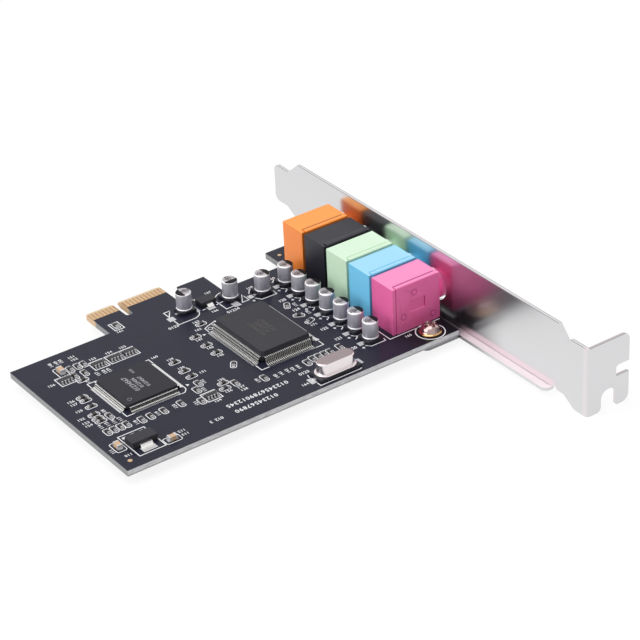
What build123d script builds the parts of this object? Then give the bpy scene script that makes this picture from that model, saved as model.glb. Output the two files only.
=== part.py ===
from build123d import *
import os

os.makedirs("parts", exist_ok=True)

# Working frame: X=0 is the bracket's inner face, Y=0 the board's straight edge, Z=0 the board's top.
# +X goes out through the bracket, +Y towards the edge connector, +Z to the component side.

# Circuit board
BOARD_T = 1.6
BOARD_LEN = 91.3
BOARD_DEPTH = 51.4
BRACKET_GAP = 2.3
TONGUE_END = 63.2
TONGUE_CORNER = 0.8
SLOT_X = -58.1
SLOT_W = 1.95
SLOT_DEPTH = 7.6
BEVEL_LEN = 1.3
BEVEL_DROP = 0.45
PRONG_GAP = 3.3
PRONG_W = 7.8
PRONG_END = 59.5
BLOCK_W = 13.9
BLOCK_EDGE = 3.7

# Edge contacts
FINGERS_LONG = 11
FINGERS_SHORT = 7
FINGER_PITCH = 1.0
FINGER_W = 0.7
FINGER_T = 0.05
FINGER_LEN = 2.9
FINGER_SIDE = 0.5
FINGER_MARGIN = 0.2

# Bracket: along the sheet, lengths run from the bend or back from the tip
SHEET = 0.86
BRACKET_W = 18.42
BRACKET_LEN = 120.02
BEND_Y = -42.4
BEND_R = 0.9
NECK_LEN = 9.65
NECK_TOP_DROP = 2.4
NECK_LOW_DROP = 1.65
NECK_RAMP_START = 4.3
NECK_RAMP = 3.5
SHOULDER = 2.9
SHOULDER_DIP = 0.8
SHOULDER_DIP_RUN = 0.9
HEEL_RISE = 0.75
RELIEF_W = 0.9
RELIEF_RISE = 2.1
RELIEF_SLOPE = 0.75
TIP_W = 10.19
TIP_DROP = 3.5
TIP_CORNER = 1.6
TIP_SHOULDER = 10.4
TIP_VEE = 6.0
TIP_VEE_DIP = 0.2
TIP_NECK = 5.2
TIP_WEB = 8.0
TIP_WEB_RUN = 4.2
OUTLINE_R = 0.8

# Bracket tab, with the case screw's slot and a side notch
TAB_DEPTH = 11.43
TAB_CORNER = 1.6
TAB_LOW_CORNER = 2.0
TAB_LOBE_CORNER = 1.3
TAB_LOBE_TIP = 0.5
TAB_SLOT_X = 6.35
TAB_SLOT_W = 4.42
TAB_SLOT_DEPTH = 5.2
TAB_SLOT_ROUND = 2.1
TAB_NOTCH_RISE = 9.0
TAB_NOTCH_H = 2.8
TAB_NOTCH_D = 3.8
TAB_NOTCH_R = 0.8

# Bracket lip and feet, under the board
LIP = 2.0
LIP_START = 11.9
LIP_CORNER = 1.6
LIP_FOLD = 0.7
LIP_PAST_BLOCK = 0.7
FOOT_W = 6.8
FOOT_PAST_SCREW = 4.1
FOOT_CORNER = 1.5

# Screws
SCREW_INSET = 5.6
SCREW_SOUTH = 3.55
SCREW_R = 1.45
SCREW_HOLE = 0.15
SCREW_TAIL = 1.24
THREAD_GAP = 0.03
HEAD_R = 2.75
HEAD_H = 2.0
HEAD_EDGE = 1.0
RECESS_W = 0.8
RECESS_LEN = 3.0
RECESS_DEEP = 1.1

# Jacks
JACK_COUNT = 5
JACK_PITCH = 9.0
JACK_W = 8.05
JACK_H = 12.2
JACK_LEN = 13.8
JACK_STAND = 1.95
JACK_WALL = 0.9
JACK_CLEAR_SOUTH = 1.1
JACK_CLEAR_NORTH = 1.4
COVER_T = 1.0
COVER_GROOVE = 0.15
COVER_PROUD = 0.12
COVER_EDGE = 0.2
BORE_R = 1.8
BORE_DEPTH = 14.5
BORE_Z = 6.5
GUIDE_HALF = 2.75
NOSE_R = 3.4
NOSE_OUT = 1.6
NOSE_GAP = 0.65

# Marks on a jack's cover: distances behind its front face and heights above the board
PANEL_BACK = 4.35
PANEL_LEN = 4.4
PANEL_Z = 4.6
PANEL_H = 2.9
PANEL_DEEP = 0.35
PEG_MARKS = ((7.55, 9.6), (10.75, 4.0), (2.1, 1.9))
PEG_MARK_R = 0.8
PEG_MARK_DEEP = 0.25

# Spring contacts of a jack: distances behind its front face, the tall ones reach over the plug's guide
TALL_CONTACTS = (1.95, 7.95)
SHORT_CONTACTS = (4.95, 11.95)
CONTACT_T = 0.3
CONTACT_W = 1.4
CONTACT_OVER_GUIDE = 0.85
CONTACT_UNDER_BORE = 0.2
CONTACT_REACH = 1.2
PIN_OUT = 1.5
PIN_GAP = 0.1
SOLDER_X = 0.5
SOLDER_Y = 0.65
SOLDER_H = 0.9
SOLDER_TAPER = 28

# Electrolytic capacitors: a row behind the jacks, and three more with the angle of their printed segment
CAN_R = 1.95
CAN_TOP = 5.4
CAN_GROOVE = 0.2
CAN_GROOVE_H = 1.0
CAN_EDGE = 0.22
CAP_BASE = 4.3
CAP_BASE_H = 0.9
CAP_BASE_CORNER = 0.9
CAP_LEAD_W = 0.7
CAP_LEAD_T = 0.15
CAP_LEAD_IN = 0.6
CAP_LEAD_OUT = 0.5
CAP_ROW = 7
CAP_PITCH = 5.7
CAP_ROW_Y = 9.75
CAP_JACK_GAP = 2.8
OTHER_CAPS = [(-27.6, 44.0, 0), (-35.4, 46.4, 270), (-47.2, 48.6, 180)]

# Chips: centre, body size, standoff, height, lead reach, leads on the long and short sides, pitch, lead width
BRIDGE = dict(x=-74.3, y=26.8, bx=14.0, by=14.0, low=0.1, h=1.4, out=1.0, nx=32, ny=32, pitch=0.4, w=0.18)
AUDIO = dict(x=-39.4, y=27.0, bx=14.0, by=20.0, low=0.25, h=2.7, out=1.6, nx=26, ny=38, pitch=0.5, w=0.22)
LEAD_T = 0.16
LEAD_FOOT = 0.25
CHIP_DRAFT = 12
CHIP_CORNER = 0.7

# Crystal
XTAL_X = -35.2
XTAL_Y = 3.75
XTAL_LEN = 10.0
XTAL_W = 3.8
XTAL_H = 2.8
XTAL_EDGE = 0.3
XTAL_RIM = 0.5
XTAL_RIM_H = 0.3
XTAL_BASE_OUT = 0.2
XTAL_BASE_SIDE = 0.05
XTAL_BASE_H = 0.9
XTAL_LEAD_W = 1.0
XTAL_LEAD_T = 0.25
XTAL_LEAD_IN = 2.4
XTAL_LEAD_OUT = 0.7

# Voltage regulator and small power transistor: the tab is on the one side, three leads on the other
REGULATOR = dict(x=-85.15, y=7.65, bx=6.5, by=3.5, h=1.6, tab=3.0, lead=0.75, spread=2.3, reach=1.7)
TRANSISTOR = dict(x=-41.1, y=48.6, bx=4.3, by=3.0, h=1.15, tab=1.6, lead=0.5, spread=1.5, reach=1.2)
FLAT_LOW = 0.1
FLAT_LEAD_T = 0.28
FLAT_LEAD_LEVEL = 0.45
GULL_FLAT = 0.3
GULL_SLOPE = 0.2

# Small chip parts: x, y and angle of the long side in degrees
LARGE_SIZE = (2.1, 1.3, 1.1)
SMALL_SIZE = (1.6, 0.8, 0.5)
ARRAY_SIZE = (3.2, 1.6, 0.55)
LARGE_CERAMICS = [(-90.4, 9.0, 90), (-79.4, 4.0, 0), (-84.4, 43.8, 90)]
RESISTORS = [(-89.1, 15.5, 90), (-87.4, 15.5, 90), (-85.7, 15.5, 90), (-84.1, 15.5, 90)]
RESISTORS += [(-38.1, 10.8, 90), (-36.2, 11.3, 90), (-34.5, 11.3, 90), (-32.8, 11.3, 90), (-31.2, 11.3, 90)]
RESISTORS += [(-82.1, 43.5, 90), (-80.1, 43.5, 90), (-78.5, 43.5, 90), (-62.5, 19.4, 90), (-58.9, 13.8, 0)]
RESISTORS += [(-51.7, 21.0, 55), (-26.9, 34.8, 60), (-27.3, 29.3, 150), (-26.8, 25.6, 20), (-47.5, 41.0, 0)]
CERAMICS = [(-80.5, 14.9, 90), (-78.2, 14.9, 90), (-74.7, 14.9, 90), (-70.1, 14.9, 90), (-65.9, 12.8, 90)]
CERAMICS += [(-87.8, 23.5, 0), (-87.9, 21.6, 0), (-87.9, 20.3, 0), (-86.5, 26.8, 0), (-86.2, 31.3, 0)]
CERAMICS += [(-86.2, 29.7, 0), (-85.3, 20.8, 90), (-61.8, 30.4, 0), (-62.0, 25.9, 0), (-62.0, 22.9, 0)]
CERAMICS += [(-64.3, 17.3, 90), (-58.0, 15.9, 0), (-55.9, 14.2, 90), (-49.5, 11.7, 90), (-51.8, 27.9, 0)]
CERAMICS += [(-51.8, 32.1, 0), (-51.8, 36.8, 0), (-82.2, 37.6, 0), (-82.8, 40.3, 90), (-80.3, 40.0, 90)]
CERAMICS += [(-28.3, 11.6, 90), (-63.6, 53.4, 90)]
ARRAYS = [(-85.4, 40.1, 0), (-75.8, 41.2, 0), (-71.4, 41.2, 0), (-67.5, 41.2, 0), (-63.0, 13.3, 0)]

# How far a cutter runs past the face that it opens
PAST = 1.0

# Places that follow from the sizes above
BOARD_EAST = -BRACKET_GAP
BOARD_WEST = BOARD_EAST - BOARD_LEN
JACK_FRONT = -JACK_STAND
JACK_BACK = JACK_FRONT - JACK_LEN
JACK_FIRST_Y = SCREW_SOUTH + HEAD_R + JACK_CLEAR_SOUTH + JACK_W / 2
JACK_LAST_Y = JACK_FIRST_Y + JACK_PITCH * (JACK_COUNT - 1)
SCREW_X = BOARD_EAST - SCREW_INSET
SCREW_NORTH = JACK_LAST_Y + JACK_W / 2 + JACK_CLEAR_NORTH + HEAD_R
BLOCK_END = SCREW_NORTH + BLOCK_EDGE
SLOT_WEST = SLOT_X - SLOT_W / 2
SLOT_EAST = SLOT_X + SLOT_W / 2
TONGUE_WEST = SLOT_WEST - FINGER_SIDE - FINGER_PITCH * (FINGERS_SHORT - 1) - FINGER_W - FINGER_MARGIN
TONGUE_EAST = SLOT_EAST + FINGER_SIDE + FINGER_PITCH * (FINGERS_LONG - 1) + FINGER_W + FINGER_MARGIN
PRONG_WEST = TONGUE_EAST + PRONG_GAP
PLATE_LOW = -BOARD_T - SHEET
PLATE_TOP = PLATE_LOW + BRACKET_W
NECK_LOW = PLATE_LOW - NECK_LOW_DROP
NECK_TOP = PLATE_TOP - NECK_TOP_DROP
WIDE_SOUTH = BEND_Y + NECK_LEN
LIP_SOUTH = BEND_Y + LIP_START
TIP_Y = BEND_Y + BRACKET_LEN
TAB_END = SHEET + TAB_DEPTH
CAP_ROW_X = JACK_BACK - CAP_JACK_GAP - CAP_BASE / 2
CAPS = [(CAP_ROW_X, CAP_ROW_Y + CAP_PITCH * k, 0) for k in range(CAP_ROW)] + OTHER_CAPS

# The part's frame: the middle of its box in X and Y, its lowest level at Z=0
SHIFT = Pos(-(BOARD_WEST + TAB_END) / 2, -(BEND_Y + TIP_Y) / 2, -NECK_LOW)


def save(name, *pieces):
    solids = [SHIFT * solid for piece in pieces for solid in piece.solids()]
    shape = solids[0] if len(solids) == 1 else Compound(solids)
    export_step(shape, "parts/" + name + ".step")


def block(x0, x1, y0, y1, z0, z1):
    size = (abs(x1 - x0), abs(y1 - y0), abs(z1 - z0))
    return Pos((x0 + x1) / 2, (y0 + y1) / 2, (z0 + z1) / 2) * Box(*size)


def rod_x(x0, x1, y, z, r):
    return Pos((x0 + x1) / 2, y, z) * Rot(0, 90, 0) * Cylinder(r, abs(x1 - x0))


def rod_y(x, y0, y1, z, r):
    return Pos(x, (y0 + y1) / 2, z) * Rot(90, 0, 0) * Cylinder(r, abs(y1 - y0))


def rod_z(x, y, z0, z1, r):
    return Pos(x, y, (z0 + z1) / 2) * Cylinder(r, abs(z1 - z0))


def jack_y(k):
    return JACK_FIRST_Y + JACK_PITCH * k


def contact_y(k):
    return jack_y(k) + JACK_W / 2 - JACK_WALL - CONTACT_T / 2


def pin_places():
    behind = TALL_CONTACTS + SHORT_CONTACTS
    return [(JACK_FRONT - b, contact_y(k)) for k in range(JACK_COUNT) for b in behind]


# A flat face from points, each with the radius of its corner
def rounded_face(corners):
    face = Face(Wire.make_polygon([(u, v) for u, v, r in corners]))
    for u, v, r in corners:
        if r:
            face = face.fillet_2d(r, [face.vertices().sort_by_distance((u, v, 0))[0]])
    return face


def board_outline():
    c = TONGUE_CORNER
    prong_east = PRONG_WEST + PRONG_W
    block_west = BOARD_EAST - BLOCK_W
    return Polyline(
        (BOARD_WEST, 0),
        (BOARD_EAST, 0),
        (BOARD_EAST, BLOCK_END),
        (block_west, BLOCK_END),
        (block_west, BOARD_DEPTH),
        (prong_east, BOARD_DEPTH),
        (prong_east, PRONG_END),
        (PRONG_WEST, PRONG_END),
        (PRONG_WEST, BOARD_DEPTH),
        (TONGUE_EAST, BOARD_DEPTH),
        (TONGUE_EAST, TONGUE_END - c),
        (TONGUE_EAST - c, TONGUE_END),
        (TONGUE_WEST + c, TONGUE_END),
        (TONGUE_WEST, TONGUE_END - c),
        (TONGUE_WEST, BOARD_DEPTH),
        (BOARD_WEST, BOARD_DEPTH),
        close=True,
    )


def tongue_bevel():
    start = TONGUE_END - BEVEL_LEN
    wedge = Polyline(
        (start, 0),
        (TONGUE_END, -BEVEL_DROP),
        (TONGUE_END + PAST, -BEVEL_DROP),
        (TONGUE_END + PAST, PAST),
        (start, PAST),
        close=True,
    )
    upper = extrude(make_face(Plane.YZ * wedge), TONGUE_EAST - TONGUE_WEST + 2 * PAST)
    upper = Pos(TONGUE_WEST - PAST, 0, 0) * upper
    middle = Plane.XY.offset(-BOARD_T / 2)
    return upper + mirror(upper, middle)


def board():
    low = -BOARD_T - PAST
    body = Pos(0, 0, -BOARD_T) * extrude(make_face(board_outline()), BOARD_T)
    slot_root = TONGUE_END - SLOT_DEPTH + SLOT_W / 2
    body -= block(SLOT_WEST, SLOT_EAST, slot_root, TONGUE_END + PAST, low, PAST)
    body -= rod_z(SLOT_X, slot_root, low, PAST, SLOT_W / 2)
    body -= tongue_bevel()
    for y in (SCREW_SOUTH, SCREW_NORTH):
        body -= rod_z(SCREW_X, y, low, PAST, SCREW_R + SCREW_HOLE)
    w = CONTACT_W / 2 + PIN_GAP
    t = CONTACT_T / 2 + PIN_GAP
    for x, y in pin_places():
        body -= block(x - w, x + w, y - t, y + t, low, PAST)
    return body


def edge_contacts():
    half = FINGER_W / 2
    rows = [SLOT_EAST + FINGER_SIDE + half + FINGER_PITCH * i for i in range(FINGERS_LONG)]
    rows += [SLOT_WEST - FINGER_SIDE - half - FINGER_PITCH * i for i in range(FINGERS_SHORT)]
    end = TONGUE_END - BEVEL_LEN
    pads = []
    for x in rows:
        for low in (0, -BOARD_T - FINGER_T):
            pads.append(block(x - half, x + half, end - FINGER_LEN, end, low, low + FINGER_T))
    return pads


def plate_corners():
    tip_top = PLATE_TOP - TIP_DROP
    tip_low = tip_top - TIP_W
    heel = PLATE_LOW + HEEL_RISE
    relief = PLATE_LOW + RELIEF_RISE
    ramp = BEND_Y + NECK_RAMP_START
    shoulder = WIDE_SOUTH - SHOULDER
    r = OUTLINE_R
    return [
        (BEND_Y, NECK_LOW, 0),
        (ramp, NECK_LOW, r),
        (ramp + NECK_RAMP, heel, r),
        (LIP_SOUTH - RELIEF_W - RELIEF_SLOPE, heel, r),
        (LIP_SOUTH - RELIEF_W, relief, 0),
        (LIP_SOUTH, relief, 0),
        (LIP_SOUTH, PLATE_LOW, 0),
        (TIP_Y - TIP_WEB - TIP_WEB_RUN, PLATE_LOW, r),
        (TIP_Y - TIP_WEB, tip_low - TIP_CORNER, r),
        (TIP_Y - TIP_NECK, tip_low, 0),
        (TIP_Y, tip_low, TIP_CORNER),
        (TIP_Y, tip_top, TIP_CORNER),
        (TIP_Y - TIP_VEE, tip_top - TIP_VEE_DIP, 0),
        (TIP_Y - TIP_SHOULDER, PLATE_TOP, 0),
        (WIDE_SOUTH, PLATE_TOP, 0),
        (shoulder, NECK_TOP - SHOULDER_DIP, 0),
        (shoulder - SHOULDER_DIP_RUN, NECK_TOP, 0),
        (BEND_Y, NECK_TOP, 0),
    ]


def tab_corners():
    west = TAB_SLOT_X - TAB_SLOT_W / 2
    east = TAB_SLOT_X + TAB_SLOT_W / 2
    notch_low = NECK_LOW + TAB_NOTCH_RISE - TAB_NOTCH_H / 2
    notch_in = TAB_END - TAB_NOTCH_D
    return [
        (0, NECK_LOW, 0),
        (west, NECK_LOW, TAB_LOBE_CORNER),
        (west, NECK_LOW + TAB_SLOT_DEPTH, TAB_SLOT_ROUND),
        (east, NECK_LOW + TAB_SLOT_DEPTH, TAB_SLOT_ROUND),
        (east, NECK_LOW, TAB_LOBE_TIP),
        (TAB_END, NECK_LOW, TAB_LOW_CORNER),
        (TAB_END, notch_low, 0),
        (notch_in, notch_low, 0),
        (notch_in, notch_low + TAB_NOTCH_H, TAB_NOTCH_R),
        (TAB_END, notch_low + TAB_NOTCH_H, 0),
        (TAB_END, NECK_TOP, TAB_CORNER),
        (0, NECK_TOP, 0),
    ]


def lip():
    north = BLOCK_END + LIP_PAST_BLOCK
    sheet = block(-LIP, SHEET, LIP_SOUTH, north, PLATE_LOW, PLATE_LOW + SHEET)
    return fillet(sheet.edges().filter_by(Axis.Z).group_by(Axis.X)[0].group_by(Axis.Y)[0], LIP_CORNER)


# What the fold of the lip leaves off the sheet's outer corner
def lip_fold_waste():
    north = BLOCK_END + LIP_PAST_BLOCK
    x = SHEET - LIP_FOLD
    z = PLATE_LOW + LIP_FOLD
    corner = block(x, SHEET + PAST, LIP_SOUTH, north, PLATE_LOW - PAST, z)
    return corner - rod_y(x, LIP_SOUTH - PAST, north + PAST, z, LIP_FOLD)


def foot(y):
    south = max(y - FOOT_W / 2, 0)
    west = SCREW_X - FOOT_PAST_SCREW
    plate = block(west, 0, south, south + FOOT_W, PLATE_LOW, PLATE_LOW + SHEET)
    return fillet(plate.edges().filter_by(Axis.Z).group_by(Axis.X)[0], FOOT_CORNER)


def bracket():
    plate = extrude(Plane.YZ * rounded_face(plate_corners()), SHEET)
    plate += Pos(0, BEND_Y + SHEET, 0) * extrude(Plane.XZ * rounded_face(tab_corners()), SHEET)
    fold = plate.edges().filter_by(Axis.Z).group_by(Axis.Y)[0].group_by(Axis.X)[0]
    plate = fillet(fold, BEND_R)
    plate += lip()
    plate -= lip_fold_waste()
    low = PLATE_LOW - PAST
    top = PLATE_LOW + SHEET + PAST
    for y in (SCREW_SOUTH, SCREW_NORTH):
        plate += foot(y)
        plate -= rod_z(SCREW_X, y, low, top, SCREW_R + THREAD_GAP)
    for k in range(JACK_COUNT):
        plate -= rod_x(-PAST, SHEET + PAST, jack_y(k), BORE_Z, NOSE_R + NOSE_GAP)
    return plate


def screw(x, y):
    head = rod_z(x, y, 0, HEAD_H, HEAD_R)
    head = chamfer(head.edges().sort_by(Axis.Z)[-1], HEAD_EDGE)
    for w, l in ((RECESS_W / 2, RECESS_LEN / 2), (RECESS_LEN / 2, RECESS_W / 2)):
        head -= block(x - w, x + w, y - l, y + l, HEAD_H - RECESS_DEEP, HEAD_H + PAST)
    return head + rod_z(x, y, -BOARD_T - SHEET - SCREW_TAIL, 0, SCREW_R)


# A housing is open below and on its south side, where the cover fits between the end walls up to the top.
def jack_housing(k):
    y = jack_y(k)
    south = y - JACK_W / 2
    north = y + JACK_W / 2
    west = JACK_BACK + JACK_WALL
    east = JACK_FRONT - JACK_WALL
    roof = JACK_H - JACK_WALL
    inner = NOSE_OUT - BORE_DEPTH
    half = GUIDE_HALF
    shell = block(JACK_BACK, JACK_FRONT, south, north, 0, JACK_H)
    shell -= block(west, east, south - PAST, north - JACK_WALL, -PAST, roof)
    shell -= block(west, east, south - PAST, south + COVER_T, roof - PAST, JACK_H + PAST)
    shell += block(inner, JACK_FRONT, y - half, y + half, BORE_Z - half, BORE_Z + half)
    shell += rod_x(JACK_FRONT, NOSE_OUT, y, BORE_Z, NOSE_R)
    return shell - rod_x(inner - PAST, NOSE_OUT + PAST, y, BORE_Z, BORE_R)


def jack_cover(k):
    south = jack_y(k) - JACK_W / 2
    face = south - COVER_PROUD
    west = JACK_BACK + JACK_WALL + COVER_GROOVE
    plate = block(west, JACK_FRONT - JACK_WALL, face, south + COVER_T, 0, JACK_H + COVER_PROUD)
    plate = chamfer(plate.edges().group_by(Axis.Y)[0].group_by(Axis.Z)[-1], COVER_EDGE)
    panel = JACK_FRONT - PANEL_BACK
    plate -= block(panel - PANEL_LEN, panel, face - PAST, face + PANEL_DEEP, PANEL_Z, PANEL_Z + PANEL_H)
    for back, z in PEG_MARKS:
        plate -= rod_y(JACK_FRONT - back, face - PAST, face + PEG_MARK_DEEP, z, PEG_MARK_R)
    return plate


def contact_blade(x, y, top):
    half = CONTACT_W / 2
    t = CONTACT_T / 2
    return block(x - half, x + half, y - t, y + t, -BOARD_T - PIN_OUT, top)


def jack_contacts(k):
    half = CONTACT_W / 2
    wall = contact_y(k)
    tip = jack_y(k) - CONTACT_REACH
    guide = BORE_Z + GUIDE_HALF
    top = guide + CONTACT_OVER_GUIDE
    blades = []
    for behind in TALL_CONTACTS:
        x = JACK_FRONT - behind
        blade = contact_blade(x, wall, top)
        blade += block(x - half, x + half, tip, wall, top - CONTACT_T, top)
        blade += block(x - half, x + half, tip, tip + CONTACT_T, guide, top)
        blades.append(blade)
    for behind in SHORT_CONTACTS:
        blades.append(contact_blade(JACK_FRONT - behind, wall, BORE_Z - CONTACT_UNDER_BORE))
    return blades


def solder(x, y):
    foot_print = Rectangle(CONTACT_W + 2 * SOLDER_X, CONTACT_T + 2 * SOLDER_Y)
    cone = Pos(x, y, -BOARD_T) * Rot(180, 0, 0) * extrude(foot_print, SOLDER_H, taper=SOLDER_TAPER)
    return cone - contact_blade(x, y, 0)


def can(x, y):
    r = CAN_R
    low = CAP_BASE_H
    profile = Polyline(
        (0, low),
        (r, low),
        (r - CAN_GROOVE, low + CAN_GROOVE_H / 2),
        (r, low + CAN_GROOVE_H),
        (r, CAN_TOP - CAN_EDGE),
        (r - CAN_EDGE, CAN_TOP),
        (0, CAN_TOP),
        close=True,
    )
    return Pos(x, y, 0) * revolve(make_face(Plane.XZ * profile), Axis.Z)


def cap_base(x, y, turn):
    half = CAP_BASE / 2
    w = CAP_LEAD_W / 2
    body = block(-half, half, -half, half, 0, CAP_BASE_H)
    body = chamfer(body.edges().filter_by(Axis.Z).group_by(Axis.X)[-1], CAP_BASE_CORNER)
    body -= block(-half - PAST, half + PAST, -w, w, -PAST, CAP_LEAD_T)
    return Pos(x, y, 0) * Rot(0, 0, turn) * body


def cap_leads(x, y, turn):
    w = CAP_LEAD_W / 2
    strip = block(CAP_LEAD_IN, CAP_BASE / 2 + CAP_LEAD_OUT, -w, w, 0, CAP_LEAD_T)
    return [Pos(x, y, 0) * Rot(0, 0, turn + end) * strip for end in (0, 180)]


# A moulded body: the straight band round its middle holds the leads, and both halves lean in from it
def chip_body(c):
    x = c["bx"] / 2
    y = c["by"] / 2
    r = CHIP_CORNER
    half = c["h"] / 2
    outline = Polyline(
        (-x + r, -y),
        (x - r, -y),
        (x, -y + r),
        (x, y - r),
        (x - r, y),
        (-x + r, y),
        (-x, y - r),
        (-x, -y + r),
        close=True,
    )
    band = make_face(Pos(c["x"], c["y"], c["low"] + half) * outline)
    straight = extrude(band, -LEAD_T)
    under = Pos(0, 0, -LEAD_T) * extrude(band, LEAD_T - half, taper=CHIP_DRAFT)
    return extrude(band, half, taper=CHIP_DRAFT) + straight + under


def lead(c):
    middle = c["low"] + c["h"] / 2
    side = Polyline(
        (0, middle - LEAD_T),
        (c["out"] - LEAD_FOOT, 0),
        (c["out"], 0),
        (0, middle),
        close=True,
    )
    return Pos(0, c["w"] / 2, 0) * extrude(make_face(Plane.XZ * side), c["w"])


def chip_leads(c):
    bar = lead(c)
    centre = Pos(c["x"], c["y"], 0)
    bars = []
    for turn, count, across in ((0, c["ny"], c["bx"]), (90, c["nx"], c["by"])):
        for side in (turn, turn + 180):
            for i in range(count):
                along = (i - (count - 1) / 2) * c["pitch"]
                bars.append(centre * Rot(0, 0, side) * Pos(across / 2, along, 0) * bar)
    return bars


def pill(z, length, width, height):
    return Pos(XTAL_X, XTAL_Y, z) * extrude(SlotOverall(length, width), height)


def crystal_can():
    rim_top = XTAL_BASE_H + XTAL_RIM_H
    metal = pill(XTAL_BASE_H, XTAL_LEN + 2 * XTAL_RIM, XTAL_W + 2 * XTAL_RIM, XTAL_RIM_H)
    metal += pill(rim_top, XTAL_LEN, XTAL_W, XTAL_H)
    return chamfer(metal.edges().group_by(Axis.Z)[-1], XTAL_EDGE)


def crystal_half_length():
    return XTAL_LEN / 2 + XTAL_RIM + XTAL_BASE_OUT


def crystal_base():
    length = crystal_half_length()
    depth = XTAL_W / 2 + XTAL_RIM + XTAL_BASE_SIDE
    w = XTAL_LEAD_W / 2
    base = block(-length, length, -depth, depth, 0, XTAL_BASE_H)
    base -= block(-length - PAST, length + PAST, -w, w, -PAST, XTAL_LEAD_T)
    return Pos(XTAL_X, XTAL_Y, 0) * base


def crystal_leads():
    w = XTAL_LEAD_W / 2
    strip = block(XTAL_LEAD_IN, crystal_half_length() + XTAL_LEAD_OUT, -w, w, 0, XTAL_LEAD_T)
    return [Pos(XTAL_X, XTAL_Y, 0) * Rot(0, 0, end) * strip for end in (0, 180)]


def flat_body(p):
    west = p["x"] - p["bx"] / 2
    south = p["y"] - p["by"] / 2
    return block(west, west + p["bx"], south, south + p["by"], FLAT_LOW, FLAT_LOW + p["h"])


def gull(p, width, x, y, turn):
    middle = FLAT_LOW + p["h"] * FLAT_LEAD_LEVEL
    t = FLAT_LEAD_T
    bend = GULL_FLAT + GULL_SLOPE
    side = Polyline(
        (0, middle - t),
        (GULL_FLAT, middle - t),
        (bend, 0),
        (p["reach"], 0),
        (p["reach"], t),
        (bend + t, t),
        (GULL_FLAT + t, middle),
        (0, middle),
        close=True,
    )
    bar = Pos(0, width / 2, 0) * extrude(make_face(Plane.XZ * side), width)
    return Pos(x, y, 0) * Rot(0, 0, turn) * bar


def flat_leads(p):
    south = p["y"] - p["by"] / 2
    north = p["y"] + p["by"] / 2
    metal = [gull(p, p["tab"], p["x"], south, -90)]
    for step in (-1, 0, 1):
        metal.append(gull(p, p["lead"], p["x"] + step * p["spread"], north, 90))
    return metal


def bricks(places, size):
    brick = Box(*size, align=(Align.CENTER, Align.CENTER, Align.MIN))
    return [Pos(x, y, 0) * Rot(0, 0, turn) * brick for x, y, turn in places]


save("circuit_board", board())
save("edge_contacts", *edge_contacts())
save("bracket", bracket())
save("mounting_screws", screw(SCREW_X, SCREW_SOUTH), screw(SCREW_X, SCREW_NORTH))
for k in range(JACK_COUNT):
    save("jack_housing_" + str(k + 1), jack_housing(k))
    save("jack_cover_" + str(k + 1), jack_cover(k))
    save("jack_contacts_" + str(k + 1), *jack_contacts(k))
save("solder_joints", *[solder(x, y) for x, y in pin_places()])
for n, (x, y, turn) in enumerate(CAPS):
    save("capacitor_can_" + str(n + 1), can(x, y))
    save("capacitor_base_" + str(n + 1), cap_base(x, y, turn))
save("capacitor_leads", *[strip for x, y, turn in CAPS for strip in cap_leads(x, y, turn)])
for name, chip in (("bridge_chip", BRIDGE), ("audio_chip", AUDIO)):
    save(name + "_body", chip_body(chip))
    save(name + "_leads", *chip_leads(chip))
save("crystal_can", crystal_can())
save("crystal_base", crystal_base())
save("crystal_leads", *crystal_leads())
for name, pack in (("regulator", REGULATOR), ("power_transistor", TRANSISTOR)):
    save(name + "_body", flat_body(pack))
    save(name + "_leads", *flat_leads(pack))
save("large_ceramic_capacitors", *bricks(LARGE_CERAMICS, LARGE_SIZE))
save("ceramic_capacitors", *bricks(CERAMICS, SMALL_SIZE))
save("chip_resistors", *bricks(RESISTORS, SMALL_SIZE))
save("resistor_arrays", *bricks(ARRAYS, ARRAY_SIZE))
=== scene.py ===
from math import acos, atan2, cos, degrees, hypot, pi, radians, sin, sqrt

import bmesh
import bpy
from mathutils import Matrix, Vector

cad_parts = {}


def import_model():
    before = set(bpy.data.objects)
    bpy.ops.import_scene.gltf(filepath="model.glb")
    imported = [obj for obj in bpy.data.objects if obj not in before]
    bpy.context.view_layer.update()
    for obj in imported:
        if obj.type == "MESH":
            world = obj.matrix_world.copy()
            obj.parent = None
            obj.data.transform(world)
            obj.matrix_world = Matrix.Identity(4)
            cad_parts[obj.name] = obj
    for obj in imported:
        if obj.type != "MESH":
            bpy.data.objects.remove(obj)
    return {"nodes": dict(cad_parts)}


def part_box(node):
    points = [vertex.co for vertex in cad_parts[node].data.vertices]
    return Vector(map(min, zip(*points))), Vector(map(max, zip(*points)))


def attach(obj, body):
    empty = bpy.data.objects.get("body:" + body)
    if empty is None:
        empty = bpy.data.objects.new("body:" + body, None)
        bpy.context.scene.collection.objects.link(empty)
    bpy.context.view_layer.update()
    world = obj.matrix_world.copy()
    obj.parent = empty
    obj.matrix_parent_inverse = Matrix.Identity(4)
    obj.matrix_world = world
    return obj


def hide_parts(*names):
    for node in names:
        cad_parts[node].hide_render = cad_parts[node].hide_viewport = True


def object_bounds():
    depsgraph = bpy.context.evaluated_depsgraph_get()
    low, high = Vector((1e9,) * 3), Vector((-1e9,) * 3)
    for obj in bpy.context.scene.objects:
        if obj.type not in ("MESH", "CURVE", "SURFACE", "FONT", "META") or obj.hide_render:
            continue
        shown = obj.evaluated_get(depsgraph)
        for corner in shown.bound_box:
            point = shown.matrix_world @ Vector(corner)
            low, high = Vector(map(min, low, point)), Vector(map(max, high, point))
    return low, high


MM = 0.001
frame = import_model()
CAD_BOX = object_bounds()
NODES = frame["nodes"]

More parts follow.
